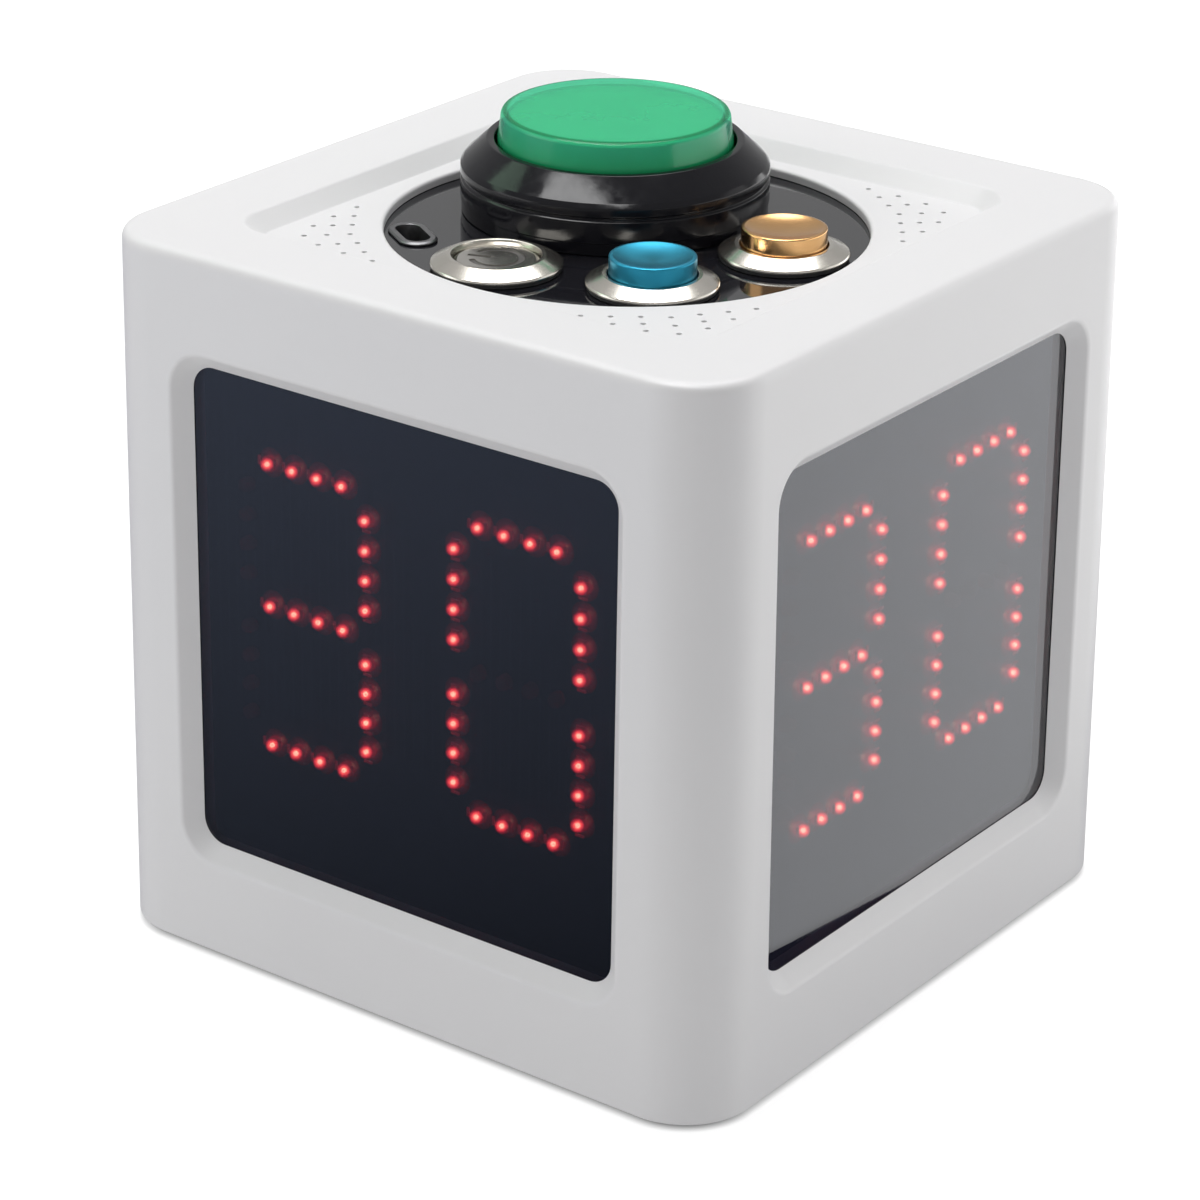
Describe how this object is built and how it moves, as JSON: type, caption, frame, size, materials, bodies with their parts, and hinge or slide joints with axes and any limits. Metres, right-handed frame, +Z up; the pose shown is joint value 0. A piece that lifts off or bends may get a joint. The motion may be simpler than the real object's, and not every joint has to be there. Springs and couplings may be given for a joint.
{
  "type": "shot clock timer cube",
  "caption": "Table-top timer cube: white case, a smoked digit window on each side, and a sunk top panel with a large lit push button, metal push switches and a charging socket.",
  "frame": {"origin": "middle of the cube on the surface its feet stand on", "axes": "+Z up; the display called front faces -Y and the one called right faces +X; the main button is set back towards -X, +Y"},
  "size_m": [0.146, 0.146, 0.1599],
  "materials": {
    "white_abs": "fine satin moulded white",
    "smoked_acrylic": "polished dark smoked acrylic",
    "black_plastic": "satin black",
    "gloss_black": "polished black",
    "black_pcb": "black solder mask",
    "green_pcb": "green solder mask",
    "green_cap": "clear green moulding, polished",
    "white_diffuser": "milky white",
    "stainless": "turned stainless steel",
    "blue_anodised": "blue anodised, fine turned",
    "gold_anodised": "gold anodised, fine turned",
    "spring_steel": "bright wire",
    "rubber": "matt black",
    "screw_steel": "zinc plated",
    "battery_wrap": "blue shrink wrap",
    "lamp_glass": "clear"
  },
  "bodies": {
    "case": {"housing": "white_abs", "bottom_cover": "white_abs", "control_panel": "gloss_black", "foot_1": "rubber", "cover_screw_1": "screw_steel", "panel_screw_1": "screw_steel", "foot_2": "rubber", "cover_screw_2": "screw_steel", "panel_screw_2": "screw_steel", "foot_3": "rubber", "cover_screw_3": "screw_steel", "panel_screw_3": "screw_steel", "foot_4": "rubber", "cover_screw_4": "screw_steel", "panel_screw_4": "screw_steel", "window_front": "smoked_acrylic", "spacer_front": "black_plastic", "display_board_front": "black_pcb", "window_right": "smoked_acrylic", "spacer_right": "black_plastic", "display_board_right": "black_pcb", "window_back": "smoked_acrylic", "spacer_back": "black_plastic", "display_board_back": "black_pcb", "window_left": "smoked_acrylic", "spacer_left": "black_plastic", "display_board_left": "black_pcb", "main_body": "gloss_black", "main_spring": "spring_steel", "main_nut": "black_plastic", "lamp_holder": "black_plastic", "lamp": "lamp_glass", "microswitch": "black_plastic", "power_body": "stainless", "power_spring": "spring_steel", "power_gasket": "rubber", "power_nut": "stainless", "power_contacts": "black_plastic", "start_body": "stainless", "start_spring": "spring_steel", "start_gasket": "rubber", "start_nut": "stainless", "start_contacts": "black_plastic", "reset_body": "stainless", "reset_spring": "spring_steel", "reset_gasket": "rubber", "reset_nut": "stainless", "reset_contacts": "black_plastic", "charge_socket": "stainless", "main_board": "green_pcb", "battery_pack": "battery_wrap", "speaker": "black_plastic"},
    "main_button": {"main_cap": "green_cap", "main_diffuser": "white_diffuser", "main_plunger": "black_plastic"},
    "microswitch_pin": {"switch_actuator": "white_diffuser"},
    "power_button": {"power_plunger": "stainless"},
    "start_button": {"start_plunger": "blue_anodised"},
    "reset_button": {"reset_plunger": "gold_anodised"}
  },
  "joints": [
    {"name": "main_press", "type": "slide", "parent": "case", "child": "main_button", "axis": [0, 0, -1], "range_m": [0, 0.004], "stiffness_N_per_m": 500, "springref_m": -0.004, "deforming": ["main_spring"]},
    {"name": "microswitch_press", "type": "slide", "parent": "case", "child": "microswitch_pin", "axis": [0, 0, -1], "range_m": [0, 0.0012]},
    {"name": "power_press", "type": "slide", "parent": "case", "child": "power_button", "axis": [0, 0, -1], "range_m": [0, 0.0025], "stiffness_N_per_m": 700, "springref_m": -0.003, "deforming": ["power_spring"]},
    {"name": "start_press", "type": "slide", "parent": "case", "child": "start_button", "axis": [0, 0, -1], "range_m": [0, 0.0025], "stiffness_N_per_m": 700, "springref_m": -0.003, "deforming": ["start_spring"]},
    {"name": "reset_press", "type": "slide", "parent": "case", "child": "reset_button", "axis": [0, 0, -1], "range_m": [0, 0.0025], "stiffness_N_per_m": 700, "springref_m": -0.003, "deforming": ["reset_spring"]}
  ],
  "couplings": [
    {"joint": "microswitch_press", "follows": "main_press", "ratio": 0.3}
  ]
}
